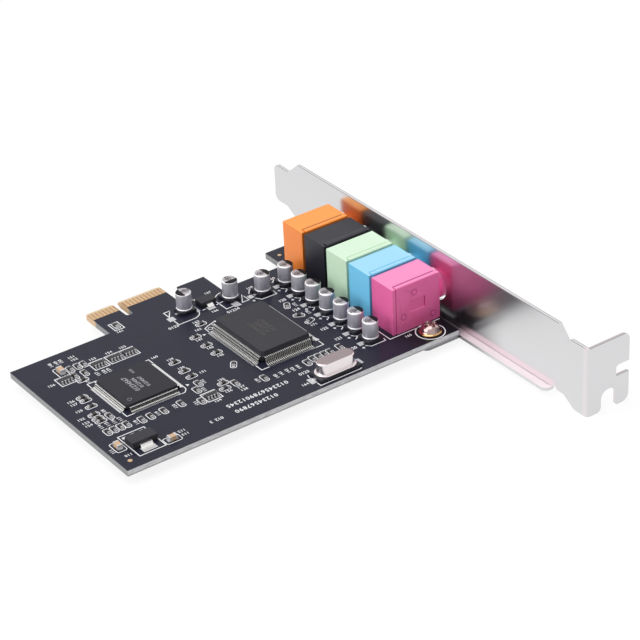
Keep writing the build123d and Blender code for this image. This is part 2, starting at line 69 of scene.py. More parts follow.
# Places are in millimetres: X from the bracket's inner face, Y from the board's straight
# edge, Z from the board's top.
BRACKET_GAP = 2.3
BOARD_LOW, BOARD_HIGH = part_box("circuit_board")
ORIGIN = Vector((BOARD_HIGH.x + BRACKET_GAP * MM, BOARD_LOW.y, BOARD_HIGH.z))
TO_FRAME = Matrix.Translation(ORIGIN) @ Matrix.Scale(MM, 4)
FLOOR_Z = CAD_BOX[0].z
# Farther than any piece reaches
FAR = 1000.0


def in_mm(box):
    return [(corner - ORIGIN) / MM for corner in box]


def node_box(node):
    return in_mm(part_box(node))


BOARD_FOOT = node_box("circuit_board")[0].z


# Node groups for effects that several finishes share

# Scale of the broad mottling beside the fine one, and how deep the bump is
BROAD_SHARE = 0.11
RELIEF = 0.02


def new_group(name, inputs, outputs):
    group = bpy.data.node_groups.new(name, "ShaderNodeTree")
    for label, kind, value in inputs:
        socket = group.interface.new_socket(name=label, in_out="INPUT", socket_type="NodeSocket" + kind)
        socket.default_value = value
    for label, kind in outputs:
        group.interface.new_socket(name=label, in_out="OUTPUT", socket_type="NodeSocket" + kind)
    return group, group.nodes.new("NodeGroupInput"), group.nodes.new("NodeGroupOutput")


def add_node(tree, kind, **settings):
    node = tree.nodes.new("ShaderNode" + kind)
    for name, value in settings.items():
        setattr(node, name, value)
    return node


def maths(tree, operation, first, second):
    node = add_node(tree, "Math", operation=operation)
    for socket, value in zip(node.inputs, (first, second)):
        if isinstance(value, (int, float)):
            socket.default_value = value
        else:
            tree.links.new(value, socket)
    return node.outputs[0]


def blend_colours(tree, factor, first, second):
    node = add_node(tree, "Mix", data_type="RGBA")
    for socket, value in ((node.inputs[0], factor), (node.inputs[6], first), (node.inputs[7], second)):
        if isinstance(value, bpy.types.NodeSocket):
            tree.links.new(value, socket)
        else:
            socket.default_value = value
    return node.outputs[2]


def make_grain():
    """Fine mottling: a little lighter and darker, rougher and smoother, with a height for bump."""
    inputs = [
        ("Colour", "Color", (0.5, 0.5, 0.5, 1)),
        ("Spread", "Float", 0.1),
        ("Scale", "Float", 900.0),
        ("Roughness", "Float", 0.4),
        ("Roughness Spread", "Float", 0.1),
        ("Stretch", "Vector", (1, 1, 1)),
    ]
    outputs = [("Colour", "Color"), ("Roughness", "Float"), ("Height", "Float")]
    group, given, result = new_group("surface_grain", inputs, outputs)
    link = group.links.new
    place = add_node(group, "TexCoord")
    stretch = add_node(group, "VectorMath", operation="MULTIPLY")
    link(place.outputs["Object"], stretch.inputs[0])
    link(given.outputs["Stretch"], stretch.inputs[1])
    fine = add_node(group, "TexNoise")
    fine.inputs["Detail"].default_value = 4
    broad = add_node(group, "TexNoise")
    for texture, share in ((fine, 1.0), (broad, BROAD_SHARE)):
        link(stretch.outputs[0], texture.inputs["Vector"])
        link(maths(group, "MULTIPLY", given.outputs["Scale"], share), texture.inputs["Scale"])
    both = maths(group, "ADD", fine.outputs["Fac"], broad.outputs["Fac"])
    swing = maths(group, "SUBTRACT", both, 1.0)
    gain = maths(group, "ADD", maths(group, "MULTIPLY", swing, given.outputs["Spread"]), 1.0)
    shade = add_node(group, "VectorMath", operation="SCALE")
    link(given.outputs["Colour"], shade.inputs[0])
    link(gain, shade.inputs["Scale"])
    link(shade.outputs[0], result.inputs["Colour"])
    rough = maths(group, "MULTIPLY", swing, given.outputs["Roughness Spread"])
    link(maths(group, "ADD", given.outputs["Roughness"], rough), result.inputs["Roughness"])
    link(fine.outputs["Fac"], result.inputs["Height"])
    return group


def make_band():
    """A mask of 1 where a coordinate lies between two values, with soft edges."""
    inputs = [
        ("Value", "Float", 0.0),
        ("From", "Float", 0.0),
        ("To", "Float", 1.0),
        ("Soft", "Float", 0.0001),
    ]
    group, given, result = new_group("band_mask", inputs, [("Mask", "Float")])
    link = group.links.new
    edges = []
    for side in ("From", "To"):
        low = maths(group, "SUBTRACT", given.outputs[side], given.outputs["Soft"])
        high = maths(group, "ADD", given.outputs[side], given.outputs["Soft"])
        ramp = add_node(group, "MapRange", interpolation_type="SMOOTHSTEP")
        for socket, value in (("Value", given.outputs["Value"]), ("From Min", low), ("From Max", high)):
            link(value, ramp.inputs[socket])
        edges.append(ramp.outputs[0])
    link(maths(group, "SUBTRACT", edges[0], edges[1]), result.inputs["Mask"])
    return group


GRAIN = make_grain()
BAND = make_band()

# Grain of a finish: spread of the colour, scale, swing of the roughness, strength of the bump
MASK_GRAIN = (0.2, 500.0, 0.12, 0.12)
PLASTIC_GRAIN = (0.05, 700.0, 0.12, 0.12)
METAL_GRAIN = (0.08, 1200.0, 0.1, 0.15)


class Finish:
    """One material: a Principled shader with the grain group on it, open to further nodes."""

    def __init__(self, name, colour, roughness, grain, **sockets):
        self.material = bpy.data.materials.new(name)
        self.material.use_nodes = True
        self.tree = self.material.node_tree
        self.link = self.tree.links.new
        self.shader = self.tree.nodes["Principled BSDF"]
        for label, value in sockets.items():
            self.shader.inputs[label.replace("_", " ")].default_value = value
        self.grain = add_node(self.tree, "Group", node_tree=GRAIN)
        self.grain.inputs["Colour"].default_value = (*colour, 1)
        self.grain.inputs["Roughness"].default_value = roughness
        for label, value in zip(("Spread", "Scale", "Roughness Spread"), grain):
            self.grain.inputs[label].default_value = value
        relief = add_node(self.tree, "Bump")
        relief.inputs["Strength"].default_value = grain[-1]
        relief.inputs["Distance"].default_value = RELIEF * MM
        self.link(self.grain.outputs["Colour"], self.shader.inputs["Base Color"])
        self.link(self.grain.outputs["Roughness"], self.shader.inputs["Roughness"])
        self.link(self.grain.outputs["Height"], relief.inputs["Height"])
        self.link(relief.outputs["Normal"], self.shader.inputs["Normal"])

    def times(self, first, second):
        return maths(self.tree, "MULTIPLY", first, second)

    def split(self, vector, axis):
        parts = add_node(self.tree, "SeparateXYZ")
        self.link(vector, parts.inputs[0])
        return parts.outputs[axis]

    def band(self, value, low, high, soft):
        node = add_node(self.tree, "Group", node_tree=BAND)
        self.link(value, node.inputs["Value"])
        for label, number in (("From", low), ("To", high), ("Soft", soft)):
            node.inputs[label].default_value = number
        return node.outputs["Mask"]

    def zone(self, axis, low, high, soft):
        """A mask of 1 between two places along X, Y or Z, in millimetres."""
        place = add_node(self.tree, "TexCoord").outputs["Object"]
        start = ORIGIN["XYZ".index(axis)]
        return self.band(self.split(place, axis), start + low * MM, start + high * MM, soft * MM)

    def facing(self, axis):
        """How far the surface faces along X, Y or Z, either way, from 0 to 1."""
        normal = add_node(self.tree, "NewGeometry").outputs["Normal"]
        return maths(self.tree, "ABSOLUTE", self.split(normal, axis), 0.0)

    def turned_to(self, axis, least, soft):
        """A mask of 1 where the surface faces along X, Y or Z by at least so much."""
        return self.band(self.facing(axis), least, 2.0, soft)

    def tint(self, mask, colour):
        """Lays a colour over the base where the mask is 1."""
        below = self.shader.inputs["Base Color"].links[0].from_socket
        over = colour if isinstance(colour, bpy.types.NodeSocket) else (*colour, 1)
        mixed = blend_colours(self.tree, mask, below, over)
        self.link(mixed, self.shader.inputs["Base Color"])


def board_edge(made):
    """Bare laminate on the cut edges: pale, layered, with painted shade on the edges that face along X, a
    dark line at the top and a darker foot.
    """
    lengthways = add_node(made.tree, "VectorMath", operation="MULTIPLY")
    place = add_node(made.tree, "TexCoord")
    made.link(place.outputs["Object"], lengthways.inputs[0])
    lengthways.inputs[1].default_value = (0.2, 0.2, 1.0)
    layers = add_node(made.tree, "TexNoise")
    layers.inputs["Scale"].default_value = 2600.0
    layers.inputs["Detail"].default_value = 5
    made.link(lengthways.outputs[0], layers.inputs["Vector"])
    weave = blend_colours(made.tree, layers.outputs["Fac"], (0.34, 0.34, 0.37, 1), (1.0, 0.99, 1.0, 1))
    # Painted shade: the edges that face along X are darker
    west = made.times(made.facing("X"), 0.78)
    weave = blend_colours(made.tree, west, weave, (0.16, 0.17, 0.17, 1))
    foot = made.times(made.zone("Z", BOARD_FOOT - 1, BOARD_FOOT + 0.34, 0.12), 0.6)
    weave = blend_colours(made.tree, foot, weave, (0.22, 0.22, 0.23, 1))
    return blend_colours(made.tree, made.zone("Z", -0.14, 1, 0.04), weave, (0.03, 0.03, 0.04, 1))


# The tongue: bare board beside and past the contacts, and the bevel at its end
CONTACT_MARGIN = 1.3
TONGUE_BARE = 4.2
TONGUE_BEVEL = 1.3


def solder_mask():
    """Dark solder mask on the faces, with painted shade near the bracket, bare laminate on the cut edges,
    and a bare bevel on the tongue.
    """
    made = Finish("solder_mask", (0.019, 0.02, 0.036), 0.3, MASK_GRAIN, Specular_IOR_Level=0.14)
    # Painted shade: the mask is darker near the bracket, at the south end by the pink jack
    shade_painted_near_bracket = made.times(made.zone("X", -15, FAR, 4), made.zone("Y", -FAR, 8, 1.5))
    made.tint(made.times(shade_painted_near_bracket, 0.8), (0.006, 0.007, 0.008))
    low, high = in_mm(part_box("edge_contacts"))
    across = made.zone("X", low.x - CONTACT_MARGIN, high.x + CONTACT_MARGIN, 0.05)
    tongue = (BOARD_HIGH.y - ORIGIN.y) / MM
    root = tongue - TONGUE_BARE
    made.tint(made.times(across, made.zone("Y", root, tongue + 1, 0.03)), (0.44, 0.27, 0.13))
    bevel = made.zone("Y", tongue - TONGUE_BEVEL, tongue + 1, 0.08)
    made.tint(made.times(across, bevel), (0.74, 0.58, 0.38))
    side = maths(made.tree, "LESS_THAN", made.facing("Z"), 0.5)
    made.tint(side, board_edge(made))
    gold = made.times(across, made.zone("Y", root - 1, tongue + 1, 0.6))
    made.tint(made.times(side, gold), (0.66, 0.46, 0.28))
    return made.material


def steel():
    """Rolled steel with a soft polish and painted light: painted highlights along its cut edge and at the
    bend, painted shade by the southern jack and by and under the board, and a pale pink painted
    reflection on the lip and on the plate just above it; the lip is also rougher and less metallic.
    """
    made = Finish("polished_steel", (0.69, 0.69, 0.7), 0.25, (0.02, 260.0, 0.03, 0.0), Metallic=1.0)
    made.grain.inputs["Stretch"].default_value = (1.0, 0.12, 1.0)
    # Painted shade: the inner face is darkened near the southern jack, low down by the board
    beside = made.times(made.zone("X", -FAR, 0.2, 0.05), made.zone("Y", -7.5, 9, 7.5))
    painted_shade = made.times(beside, made.zone("Z", -FAR, 6.5, 6.5))
    made.tint(made.times(painted_shade, 0.85), (0.1, 0.1, 0.11))
    # Level faces above the lip are the sheet's cut edge, darker, with a painted highlight along its
    # middle
    level = made.turned_to("Z", 0.8, 0.1)
    lip_top = BOARD_FOOT + 0.3
    cut = made.times(level, made.zone("Z", lip_top, FAR, 0.1))
    made.tint(cut, (0.36, 0.35, 0.36))
    made.tint(made.times(cut, made.zone("X", 0.3, 0.6, 0.08)), (0.93, 0.9, 0.92))
    # The lip gets a pale pink painted reflection, with painted shade by the board and under it
    lip_face = made.times(level, made.zone("Z", -FAR, lip_top, 0.1))
    made.tint(lip_face, (0.8, 0.72, 0.75))
    made.tint(made.times(lip_face, made.zone("Y", -1.5, FAR, 2)), (0.5, 0.37, 0.42))
    made.tint(made.times(lip_face, made.zone("Y", 0.6, FAR, 0.8)), (0.1, 0.09, 0.1))
    # Painted reflection: a pale pink band of the lip's reflection on the plate just above it
    near_lip = made.zone("Z", lip_top - 0.3, lip_top + 1.3, 0.4)
    past_board = made.times(made.zone("Y", -32, 2, 1.5), 0.7)
    made.tint(made.times(near_lip, past_board), (0.86, 0.76, 0.79))
    # Painted highlight along the bend
    bend = (CAD_BOX[0].y - ORIGIN.y) / MM
    made.tint(made.times(made.zone("Y", bend + 0.3, bend + 1.5, 0.28), 0.4), (0.86, 0.75, 0.78))
    below = made.shader.inputs["Roughness"].links[0].from_socket
    rougher = maths(made.tree, "ADD", below, made.times(lip_face, 0.3))
    made.link(rougher, made.shader.inputs["Roughness"])
    solid = maths(made.tree, "SUBTRACT", 1.0, made.times(lip_face, 0.6))
    made.link(solid, made.shader.inputs["Metallic"])
    return made.material


def plastic(name, colour, roughness=0.42, gloss=0.3):
    return Finish(name, colour, roughness, PLASTIC_GRAIN, Specular_IOR_Level=gloss).material


def jack_plastic(name, side, top):
    """Moulded plastic with painted light: paler on level faces, with painted shade low down near the
    board and between the housings' fronts and the bracket, where the colour is deeper.
    """
    made = Finish(name, side, 0.42, PLASTIC_GRAIN, Specular_IOR_Level=0.6)
    # Painted shade: darker low down, near the board
    foot = made.zone("Z", -FAR, 2.5, 5)
    made.tint(made.times(foot, 0.2), [0.62 * value for value in side])
    # Painted light: the level faces take the paler top colour
    made.tint(made.turned_to("Z", 0.8, 0.1), top)
    # Painted shade between the housings' fronts and the bracket: a darker, deeper colour
    shade_painted_at_front = made.zone("X", -2.1, -0.4, 0.1)
    made.tint(shade_painted_at_front, [min(1.0, 1.15 * value ** 1.3) for value in side])
    return made.material


def metal(name, colour, roughness, metallic=1.0):
    return Finish(name, colour, roughness, METAL_GRAIN, Metallic=metallic).material


def can_metal():
    """Satin drawn aluminium with fine upright marks, painted highlights on the rolled rims, and a darker
    level top.
    """
    low, high = in_mm(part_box("capacitor_can_1"))
    made = Finish("can_aluminium", (0.6, 0.59, 0.65), 0.52, (0.06, 1800.0, 0.08, 0.1), Metallic=0.7)
    made.grain.inputs["Stretch"].default_value = (1.0, 1.0, 0.1)
    # Painted highlights on the rolled foot and on the shoulder
    made.tint(made.zone("Z", low.z - 1, low.z + 0.4, 0.05), (0.98, 0.97, 1.0))
    made.tint(made.zone("Z", high.z - 0.36, high.z + 1, 0.05), (0.88, 0.86, 0.88))
    made.tint(made.turned_to("Z", 0.97, 0.02), (0.47, 0.44, 0.46))
    return made.material


def lead_metal(name, slope):
    """Tinned chip leads with painted light: painted highlights where they lie level and in bands down the
    west and east slopes, and painted shade on the rest of the slopes.
    """
    made = Finish(name, slope, 0.4, (0.08, 1200.0, 0.1, 0.1), Metallic=0.4)
    # Painted shade on the slopes that face along X, with painted highlights in bands down them and on
    # level faces
    sloped = made.turned_to("X", 0.4, 0.1)
    made.tint(sloped, (0.06, 0.06, 0.06))
    bands = [made.zone("Z", low, high, 0.06) for low, high in ((0.35, 0.62), (0.95, 1.35))]
    made.tint(made.times(sloped, maths(made.tree, "MAXIMUM", *bands)), (0.9, 0.89, 0.87))
    made.tint(made.turned_to("Z", 0.86, 0.06), (1.0, 0.99, 0.97))
    return made.material


def crystal_metal():
    """Pinkish nickel, darker at its top."""
    made = Finish("nickel", (0.8, 0.74, 0.75), 0.24, (0.04, 700.0, 0.05, 0.04), Metallic=1.0)
    top = in_mm(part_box("crystal_can"))[1].z
    made.tint(made.zone("Z", top - 0.1, top + 1, 0.03), (0.36, 0.29, 0.3))
    return made.material


def screw_metal():
    """Bright plated steel with a maroon tint, a painted reflection of the pink jack beside it, and golden
    round the rim of the head.
    """
    # Painted reflection: the maroon tint of the base colour
    made = Finish("screw_steel", (0.4, 0.29, 0.28), 0.1, (0.05, 800.0, 0.05, 0.1), Metallic=1.0)
    made.tint(made.zone("Z", -FAR, 0.62, 0.12), (0.52, 0.31, 0.15))
    return made.material


# Colour, roughness and how metallic it is
METALS = {
    "gold_plate": ((0.66, 0.46, 0.28), 0.4),
    # Painted shade for the lip's crease line
    "painted_shade_steel": ((0.5, 0.46, 0.48), 0.45),
    "solder": ((0.74, 0.74, 0.75), 0.28),
    "tin": ((0.88, 0.87, 0.85), 0.32, 0.7),
    "pad_tin": ((0.62, 0.62, 0.64), 0.35, 0.25),
    "tinned_end": ((0.5, 0.49, 0.5), 0.45),
    "spring_brass": ((0.72, 0.6, 0.38), 0.28),
}
# Colour, roughness and gloss
PLASTICS = {
    "black_resin": ((0.036, 0.035, 0.042), 0.5, 0.2),
    "bridge_resin": ((0.02, 0.02, 0.027), 0.5, 0.2),
    "black_plastic": ((0.01, 0.01, 0.018), 0.42, 0.42),
    "tan_ceramic": ((0.66, 0.44, 0.28), 0.5),
    "small_ceramic": ((0.045, 0.04, 0.038), 0.5, 0.2),
    "dark_ceramic": ((0.03, 0.03, 0.035), 0.35),
    # Darker plastic for the seam lines and peg rings of painted shade on the jacks
    "pink_seam": ((0.55, 0.06, 0.24),),
    "light_blue_seam": ((0.2, 0.58, 0.86),),
    "light_green_seam": ((0.54, 0.78, 0.52),),
    "orange_seam": ((0.5, 0.11, 0.01),),
    "black_seam": ((0.045, 0.045, 0.055),),
    "white_ink": ((0.94, 0.94, 0.96), 0.6),
    "grey_ink": ((0.42, 0.42, 0.44), 0.6),
    "faint_ink": ((0.075, 0.07, 0.066), 0.55),
    "black_ink": ((0.008, 0.008, 0.01), 0.5, 0.12),
    "brown_ink": ((0.03, 0.022, 0.024), 0.5, 0.12),
}
# Colour of the sides and of the level faces; the paler level-face colour is painted light
JACK_PLASTICS = {
    "pink_plastic": ((0.9, 0.15, 0.41), (0.97, 0.29, 0.58)),
    "light_blue_plastic": ((0.2, 0.66, 0.98), (0.37, 0.75, 0.99)),
    "light_green_plastic": ((0.68, 0.92, 0.68), (0.72, 0.93, 0.72)),
    "orange_plastic": ((1.0, 0.27, 0.03), (1.0, 0.36, 0.06)),
}
MATERIALS = {
    "solder_mask": solder_mask(),
    "polished_steel": steel(),
    "screw_steel": screw_metal(),
    "nickel": crystal_metal(),
    # The slope colours are darker than tin: painted shade on the lead slopes, near black on the bridge
    # chip
    "bridge_chip_tin": lead_metal("bridge_chip_tin", (0.04, 0.04, 0.04)),
    "audio_chip_tin": lead_metal("audio_chip_tin", (0.34, 0.34, 0.31)),
    "can_aluminium": can_metal(),
}
for maker, looks in ((metal, METALS), (plastic, PLASTICS), (jack_plastic, JACK_PLASTICS)):
    MATERIALS.update({name: maker(name, *look) for name, look in looks.items()})


# Mesh building, in millimetres

# Edges that turn by more than this many degrees stay sharp
CREASE = 32


def show(name, data):
    """A new object, linked into the scene."""
    made = bpy.data.objects.new(name, data)
    bpy.context.scene.collection.objects.link(made)
    return made


def shade(bm, crease):
    bmesh.ops.recalc_face_normals(bm, faces=bm.faces)
    for face in bm.faces:
        face.smooth = True
    for edge in bm.edges:
        edge.smooth = len(edge.link_faces) == 2 and edge.calc_face_angle(0) < radians(crease)


def piece(name, bm, finish, replaces=(), crease=CREASE):
    shade(bm, crease)
    bm.transform(TO_FRAME)
    mesh = bpy.data.meshes.new(name)
    bm.to_mesh(mesh)
    bm.free()
    made = show(name, mesh)
    mesh.materials.append(MATERIALS[finish])
    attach(made, "root")
    if replaces:
        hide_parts(*replaces)
    return made


def cad_mesh(node):
    """A node's mesh in millimetres, joined along its seams and with flat faces whole."""
    bm = bmesh.new()
    source = NODES[node].data
    corners = [bm.verts.new((v.co - ORIGIN) / MM) for v in source.vertices]
    for polygon in source.polygons:
        bm.faces.new([corners[i] for i in polygon.vertices])
    bmesh.ops.remove_doubles(bm, verts=bm.verts, dist=0.0005)
    bmesh.ops.dissolve_limit(bm, angle_limit=radians(0.8), verts=bm.verts, edges=bm.edges)
    return bm


def softened(node, name, finish, width, segments=2):
    """The node's own shape with its sharp edges rounded, shown in the node's place."""
    bm = cad_mesh(node)
    limit = radians(CREASE)
    sharp = [e for e in bm.edges if len(e.link_faces) == 2 and e.calc_face_angle(0) > limit]
    bmesh.ops.bevel(
        bm, geom=sharp, offset=width, segments=segments, profile=0.5, affect="EDGES", clamp_overlap=True
    )
    bmesh.ops.triangulate(bm, faces=[f for f in bm.faces if len(f.verts) > 4])
    made = piece(name, bm, finish, replaces=(node,))
    even = made.modifiers.new("even", "WEIGHTED_NORMAL")
    even.mode = "FACE_AREA"
    even.weight = 100
    even.keep_sharp = True


def add_block(bm, centre, size, turn=0.0):
    place = Matrix.Translation(centre) @ Matrix.Rotation(turn, 4, "Z") @ Matrix.Diagonal((*size, 1))
    bmesh.ops.create_cube(bm, size=1.0, matrix=place)


def add_prism(bm, profile, width, place):
    """A bar with a side profile of (along, up) points, centred on its width."""
    near = [bm.verts.new(place @ Vector((x, -width / 2, z))) for x, z in profile]
    far = [bm.verts.new(place @ Vector((x, width / 2, z))) for x, z in profile]
    bm.faces.new(near)
    bm.faces.new(list(reversed(far)))
    join_rings(bm, [far, near])


def add_plate(bm, outline, low, high):
    """A flat plate from an outline of (x, y) points."""
    base = [bm.verts.new((x, y, low)) for x, y in outline]
    top = [bm.verts.new((x, y, high)) for x, y in outline]
    bm.faces.new(list(reversed(base)))
    bm.faces.new(top)
    join_rings(bm, [base, top])


def join_rings(bm, rings):
    """A wall of faces from each ring of corners to the next."""
    for low, high in zip(rings, rings[1:]):
        for i in range(len(low)):
            bm.faces.new((low[i - 1], low[i], high[i], high[i - 1]))


def close_rings(bm, foot, rings, head):
    """The same wall, closed by a point at each end."""
    join_rings(bm, rings)
    for i in range(len(rings[0])):
        bm.faces.new((foot, rings[0][i], rings[0][i - 1]))
        bm.faces.new((head, rings[-1][i - 1], rings[-1][i]))


def add_lathe(bm, profile, place, steps=40):
    """A turned shape from (radius, z) points that start and end on the axis."""
    rings = []
    for radius, z in profile[1:-1]:
        rings.append([bm.verts.new(place @ Vector((x, y, z))) for x, y in circle(0, 0, radius, steps)])
    foot = bm.verts.new(place @ Vector((0, 0, profile[0][1])))
    head = bm.verts.new(place @ Vector((0, 0, profile[-1][1])))
    close_rings(bm, foot, rings, head)


def circle(x, y, radius, steps=32, start=0.0, end=360.0):
    turns = [radians(start + (end - start) * i / steps) for i in range(steps + (end - start < 360))]
    return [(x + radius * cos(t), y + radius * sin(t)) for t in turns]


def oval(x, y, length, width, turn, corner=0.5):
    """The points of a line round an oblong with round corners, its long side at the turn."""
    across = length / 2 - corner
    along = width / 2 - corner
    points = []
    for k, (u, v) in enumerate(((across, -along), (across, along), (-across, along), (-across, -along))):
        points += circle(u, v, corner, 4, 90 * k - 90, 90 * k)
    c, s = cos(turn), sin(turn)
    return [(x + c * u - s * v, y + s * u + c * v) for u, v in points]


def rectangle(x0, x1, y0, y1):
    return [(x0, y0), (x1, y0), (x1, y1), (x0, y1)]


# Printing: thin ink lines and figures

INK = 0.02
LINE = 0.24
THIN_LINE = 0.08
# Letter size that makes a figure one unit high
FIGURE_SIZE = 1.35


def add_line(bm, points, width=LINE, closed=False, low=0.0):
    """An ink line along points, mitred at its corners."""
    path = [Vector(p) for p in points]
    count = len(path)
    stations = []
    for i, here in enumerate(path):
        before = path[i - 1] if i or closed else here
        after = path[(i + 1) % count] if i + 1 < count or closed else here
        first = (here - before).normalized() if here != before else (after - here).normalized()
        second = (after - here).normalized() if after != here else first
        middle = (first + second).normalized()
        across = Vector((-middle.y, middle.x)) * width / 2 / max(0.4, middle.dot(second))
        ring = []
        for side, z in ((-1, low), (1, low), (1, low + INK), (-1, low + INK)):
            ring.append(bm.verts.new((*(here + across * side), z)))
        stations.append(ring)
    pairs = list(zip(stations, stations[1:] + stations[:1]))
    for one, two in pairs if closed else pairs[:-1]:
        for k in range(4):
            bm.faces.new((one[k], one[(k + 1) % 4], two[(k + 1) % 4], two[k]))
    if not closed:
        bm.faces.new(stations[0])
        bm.faces.new(list(reversed(stations[-1])))


def make_figures():
    """Meshes of the figures 0 to 9 and a plus sign, one unit high."""
    figures = {}
    for sign in "0123456789+":
        curve = bpy.data.curves.new("figure", "FONT")
        curve.body = sign
        curve.align_x = "CENTER"
        curve.align_y = "CENTER"
        curve.size = FIGURE_SIZE
        curve.resolution_u = 2
        curve.extrude = 0.5
        curve.offset = 0.02
        holder = show("figure", curve)
        graph = bpy.context.evaluated_depsgraph_get()
        figures[sign] = bpy.data.meshes.new_from_object(holder.evaluated_get(graph))
        bpy.data.objects.remove(holder)
    return figures


FIGURES = make_figures()


def add_figures(bm, text, x, y, height, turn=0.0, low=0.0, pace=0.68):
    """Writes figures centred on a place, turned in degrees."""
    turned = Matrix.Translation((x, y, low)) @ Matrix.Rotation(radians(turn), 4, "Z")
    for i, sign in enumerate(text):
        if sign == " ":
            continue
        along = (i - (len(text) - 1) / 2) * pace * height
        size = Matrix.Diagonal((height, height, INK, 1))
        place = turned @ Matrix.Translation((along, 0, INK / 2)) @ size
        figure = FIGURES[sign].copy()
        figure.transform(place)
        bm.from_mesh(figure)
        bpy.data.meshes.remove(figure)


# The small parts, read from their nodes

def blocks_in(node):
    """Centre, length, width, height and turn of each block in a node."""
    bm = cad_mesh(node)
    found = []
    waiting = set(bm.verts)
    while waiting:
        group = {waiting.pop()}
        reached = list(group)
        while reached:
            vert = reached.pop()
            for edge in vert.link_edges:
                other = edge.other_vert(vert)
                if other in waiting:
                    waiting.remove(other)
                    group.add(other)
                    reached.append(other)
        centre = sum((v.co for v in group), Vector()) / len(group)
        flat = {e for v in group for e in v.link_edges if abs(e.verts[0].co.z - e.verts[1].co.z) < 0.01}
        longest = max(flat, key=lambda e: e.calc_length())
        run = longest.verts[1].co - longest.verts[0].co
        width = min(e.calc_length() for e in flat)
        height = max(v.co.z for v in group) - min(v.co.z for v in group)
        found.append((centre, run.length, width, height, atan2(run.y, run.x)))
    bm.free()
    return found


# Plated ends: share of the length, how far they stand out, and the wedge and pad at the foot
CAP_SHARE = 0.2
END_PROUD = 0.02
WEDGE_OUT = 0.2
WEDGE_RISE = 0.5
WEDGE_SHARE = 0.92
PAD_T = 0.04
PAD_LEN = 0.4
PAD_PAST = 0.06
PAD_SHARE = 0.7
ARRAY_PITCH = 0.82
ARRAY_END = (0.45, 0.3)
ARRAY_PAD = (0.5, 0.9)
ARRAY_PAD_OUT = 0.3

LARGE = "large_ceramic_capacitors"
SMALL_FINISHES = {
    "ceramic_capacitors": "small_ceramic",
    "chip_resistors": "dark_ceramic",
    LARGE: "tan_ceramic",
    "resistor_arrays": "dark_ceramic",
}
ARRAYS = blocks_in("resistor_arrays")
SMALL = {node: blocks_in(node) for node in SMALL_FINISHES if node != "resistor_arrays"}


def add_small_ends(small, large, pads):
    """Plated ends, solder wedges and pads of the two-ended parts."""
    for node, parts in SMALL.items():
        bm = large if node == LARGE else small
        for centre, length, width, height, turn in parts:
            place = Matrix.Translation((centre.x, centre.y, 0)) @ Matrix.Rotation(turn, 4, "Z")
            cap = length * CAP_SHARE
            half = length / 2
            for end in (0, pi):
                side = place @ Matrix.Rotation(end, 4, "Z")
                middle = side @ Vector((half - cap / 2 + END_PROUD, 0, (height + END_PROUD) / 2))
                add_block(bm, middle, (cap, width + 2 * END_PROUD, height + END_PROUD), turn)
                wedge = [(half, 0), (half + WEDGE_OUT, 0), (half + END_PROUD, height * WEDGE_RISE)]
                add_prism(bm, wedge, width * WEDGE_SHARE, side)
                spot = side @ Vector((half + PAD_PAST, 0, PAD_T / 2))
                add_block(pads, spot, (PAD_LEN, width * PAD_SHARE, PAD_T), turn)


def add_array_ends(bm, pads):
    """Four pairs of plated ends and pads on each resistor array."""
    for centre, length, width, height, turn in ARRAYS:
        for k in range(4):
            x = centre.x + (k - 1.5) * ARRAY_PITCH
            for side in (-1, 1):
                y = centre.y + side * width / 2
                add_block(bm, (x, y, (height + END_PROUD) / 2), (*ARRAY_END, height + END_PROUD))
                add_block(pads, (x, y + side * ARRAY_PAD_OUT, PAD_T / 2), (*ARRAY_PAD, PAD_T))


def dress_small_parts():
    ends = bmesh.new()
    large_ends = bmesh.new()
    pads = bmesh.new()
    add_small_ends(ends, large_ends, pads)
    add_array_ends(ends, pads)
    piece("small_part_ends", ends, "tinned_end")
    piece("large_part_ends", large_ends, "pad_tin")
    piece("small_part_pads", pads, "solder")
    for node, finish in SMALL_FINISHES.items():
        softened(node, node + "_bodies", finish, 0.04, 1)


# Chips: leads on the south and north sides (nx) and on the west and east sides (ny), their
# pitch and width, how far they stand out, and the finish of the body

CHIPS = {
    "bridge_chip": dict(nx=32, ny=32, pitch=0.4, lead=0.33, out=1.0, finish="bridge_resin"),
    "audio_chip": dict(nx=26, ny=38, pitch=0.5, lead=0.24, out=1.6, finish="black_resin"),
}
LEAD_T = 0.13
LEAD_IN = 0.1
BEND_SHARE = 0.34
HEEL_SHARE = 0.54
KNEE_RISE = 0.07
CHIP_PAD_START = 0.45
CHIP_PAD_PAST = 0.6
CHIP_PAD_WIDER = 1.15
# Rows of figures on the chips, from west to east
BRIDGE_ROWS = (("01234567", 1.25), ("0123456", 1.0), ("01234567", 0.9))
AUDIO_ROWS = ("01234567", "0123456", "01234567")
ROW_PITCH = 1.5


def gull_profile(out, knee):
    """Side of one lead: out of the body, down, and along its pad."""
    bend = out * BEND_SHARE
    heel = out * HEEL_SHARE
    return [
        (-LEAD_IN, knee), (bend, knee),
        (heel, LEAD_T + PAD_T), (out, LEAD_T + PAD_T),
        (out, PAD_T), (heel - LEAD_T, PAD_T),
        (bend - LEAD_T * 0.6, knee - LEAD_T), (-LEAD_IN, knee - LEAD_T),
    ]


